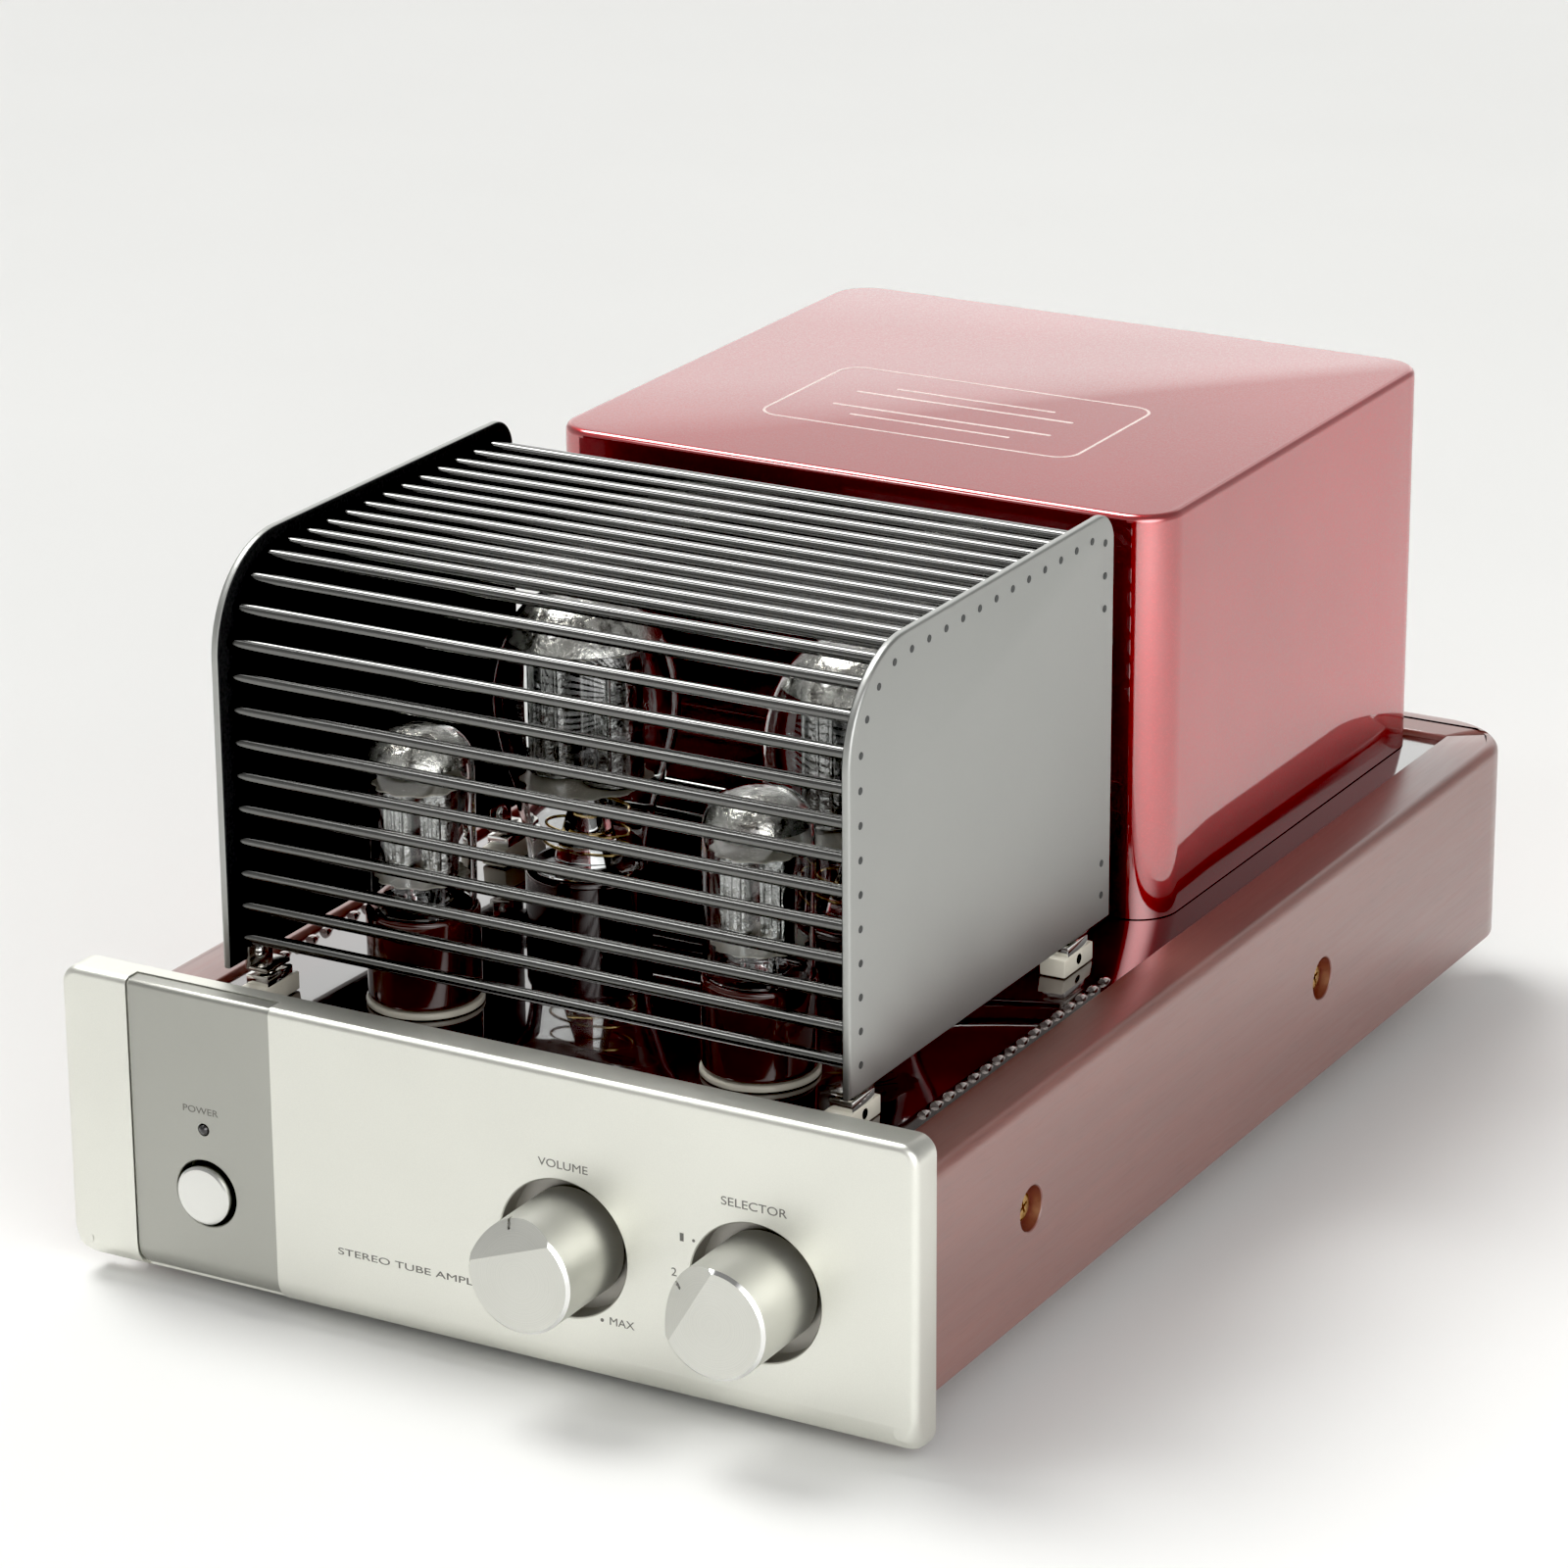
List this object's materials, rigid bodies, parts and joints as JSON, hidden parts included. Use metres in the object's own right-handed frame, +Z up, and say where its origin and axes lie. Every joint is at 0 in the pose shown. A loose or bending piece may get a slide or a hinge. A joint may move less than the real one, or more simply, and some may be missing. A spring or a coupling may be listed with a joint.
{
  "type": "tube amplifier",
  "caption": "Integrated tube amplifier with a wood-sided case, silver front panel with turning knobs and push button, glass tubes under a lift-off cage, and a red transformer cover.",
  "frame": {"origin": "below the middle of the outline, on the surface the feet stand on", "axes": "+X to the right seen from the front, +Y from the control panel to the rear, +Z up"},
  "size_m": [0.3, 0.488, 0.2339],
  "materials": {
    "satin_silver": "fine satin anodised aluminium",
    "grey_inlay": "grey satin anodised aluminium",
    "polished_silver": "polished aluminium",
    "dark_lamp": "dark clear lamp lens",
    "black_plastic": "moulded black plastic",
    "wine_red_paint": "high gloss very dark wine-red paint",
    "lacquered_mahogany": "red-brown mahogany under gloss lacquer",
    "metallic_red": "metallic candy red under clear coat",
    "gunmetal": "satin gunmetal grey",
    "clear_glass": "clear blown glass",
    "brown_bakelite": "dark red-brown moulded base",
    "grey_plates": "grey electrode plates",
    "cream_ceramic": "cream ceramic",
    "brass": "plated brass",
    "rubber": "black rubber",
    "plated_steel": "zinc plated steel",
    "lamination_black": "black painted laminations",
    "circuit_green": "green circuit board",
    "red_plastic": "red moulded plastic"
  },
  "bodies": {
    "amplifier": {"board_screw_left_1": "brass", "board_screw_left_2": "brass", "board_screw_right_1": "brass", "board_screw_right_2": "brass", "bottom_cover": "plated_steel", "cage_socket_left_1": "cream_ceramic", "cage_socket_left_2": "cream_ceramic", "cage_socket_right_1": "cream_ceramic", "cage_socket_right_2": "cream_ceramic", "chassis": "wine_red_paint", "circuit_board": "circuit_green", "driver_left_base": "brown_bakelite", "driver_left_glass": "clear_glass", "driver_left_plates": "grey_plates", "driver_left_socket": "cream_ceramic", "driver_right_base": "brown_bakelite", "driver_right_glass": "clear_glass", "driver_right_plates": "grey_plates", "driver_right_socket": "cream_ceramic", "foot_left_1": "rubber", "foot_left_2": "rubber", "foot_right_1": "rubber", "foot_right_2": "rubber", "front_panel": "satin_silver", "fuse_holder": "black_plastic", "input_jacks": "brass", "mains_inlet": "black_plastic", "output_left_base": "black_plastic", "output_left_glass": "clear_glass", "output_left_plates": "grey_plates", "output_left_socket": "cream_ceramic", "output_right_base": "black_plastic", "output_right_glass": "clear_glass", "output_right_plates": "grey_plates", "output_right_socket": "cream_ceramic", "output_transformer_left": "lamination_black", "output_transformer_right": "lamination_black", "panel_inlay": "grey_inlay", "power_led": "dark_lamp", "power_switch": "black_plastic", "power_transformer": "lamination_black", "rear_plate": "wine_red_paint", "rear_rail": "lacquered_mahogany", "selector_switch": "black_plastic", "side_board_left": "lacquered_mahogany", "side_board_right": "lacquered_mahogany", "terminal_block": "black_plastic", "transformer_cover": "metallic_red", "volume_pot": "plated_steel"},
    "volume": {"volume_knob": "satin_silver", "volume_shaft": "plated_steel"},
    "selector": {"selector_knob": "satin_silver", "selector_shaft": "plated_steel"},
    "power_button": {"power_button": "polished_silver"},
    "cage": {"tube_cage": "gunmetal"},
    "fuse_cap": {"fuse_cap": "black_plastic"},
    "terminal_cap_1": {"terminal_cap_1": "red_plastic"},
    "terminal_cap_2": {"terminal_cap_2": "black_plastic"},
    "terminal_cap_3": {"terminal_cap_3": "red_plastic"},
    "terminal_cap_4": {"terminal_cap_4": "black_plastic"}
  },
  "joints": [
    {"name": "volume_turn", "type": "hinge", "parent": "amplifier", "child": "volume", "pos_m": [0.0307, -0.21855, 0.0473], "axis": [0, 1, 0], "range_deg": [-127, 167]},
    {"name": "selector_turn", "type": "hinge", "parent": "amplifier", "child": "selector", "pos_m": [0.0964, -0.21855, 0.0473], "axis": [0, 1, 0], "range_deg": [-63, 0]},
    {"name": "power_press", "type": "slide", "parent": "amplifier", "child": "power_button", "axis": [0, 1, 0], "range_m": [0, 0.003], "stiffness_N_per_m": 400},
    {"name": "cage_lift", "type": "slide", "parent": "amplifier", "child": "cage", "axis": [0, 0, 1], "range_m": [0, 0.15]},
    {"name": "fuse_cap_turn", "type": "hinge", "parent": "amplifier", "child": "fuse_cap", "pos_m": [0.06, 0.23045, 0.04], "axis": [0, 1, 0], "range_deg": [0, 90]},
    {"name": "terminal_turn_1", "type": "hinge", "parent": "amplifier", "child": "terminal_cap_1", "pos_m": [-0.004, 0.23545, 0.04], "axis": [0, 1, 0], "continuous": true},
    {"name": "terminal_turn_2", "type": "hinge", "parent": "amplifier", "child": "terminal_cap_2", "pos_m": [0.01, 0.23545, 0.04], "axis": [0, 1, 0], "continuous": true},
    {"name": "terminal_turn_3", "type": "hinge", "parent": "amplifier", "child": "terminal_cap_3", "pos_m": [-0.046, 0.23545, 0.04], "axis": [0, 1, 0], "continuous": true},
    {"name": "terminal_turn_4", "type": "hinge", "parent": "amplifier", "child": "terminal_cap_4", "pos_m": [-0.032, 0.23545, 0.04], "axis": [0, 1, 0], "continuous": true}
  ]
}
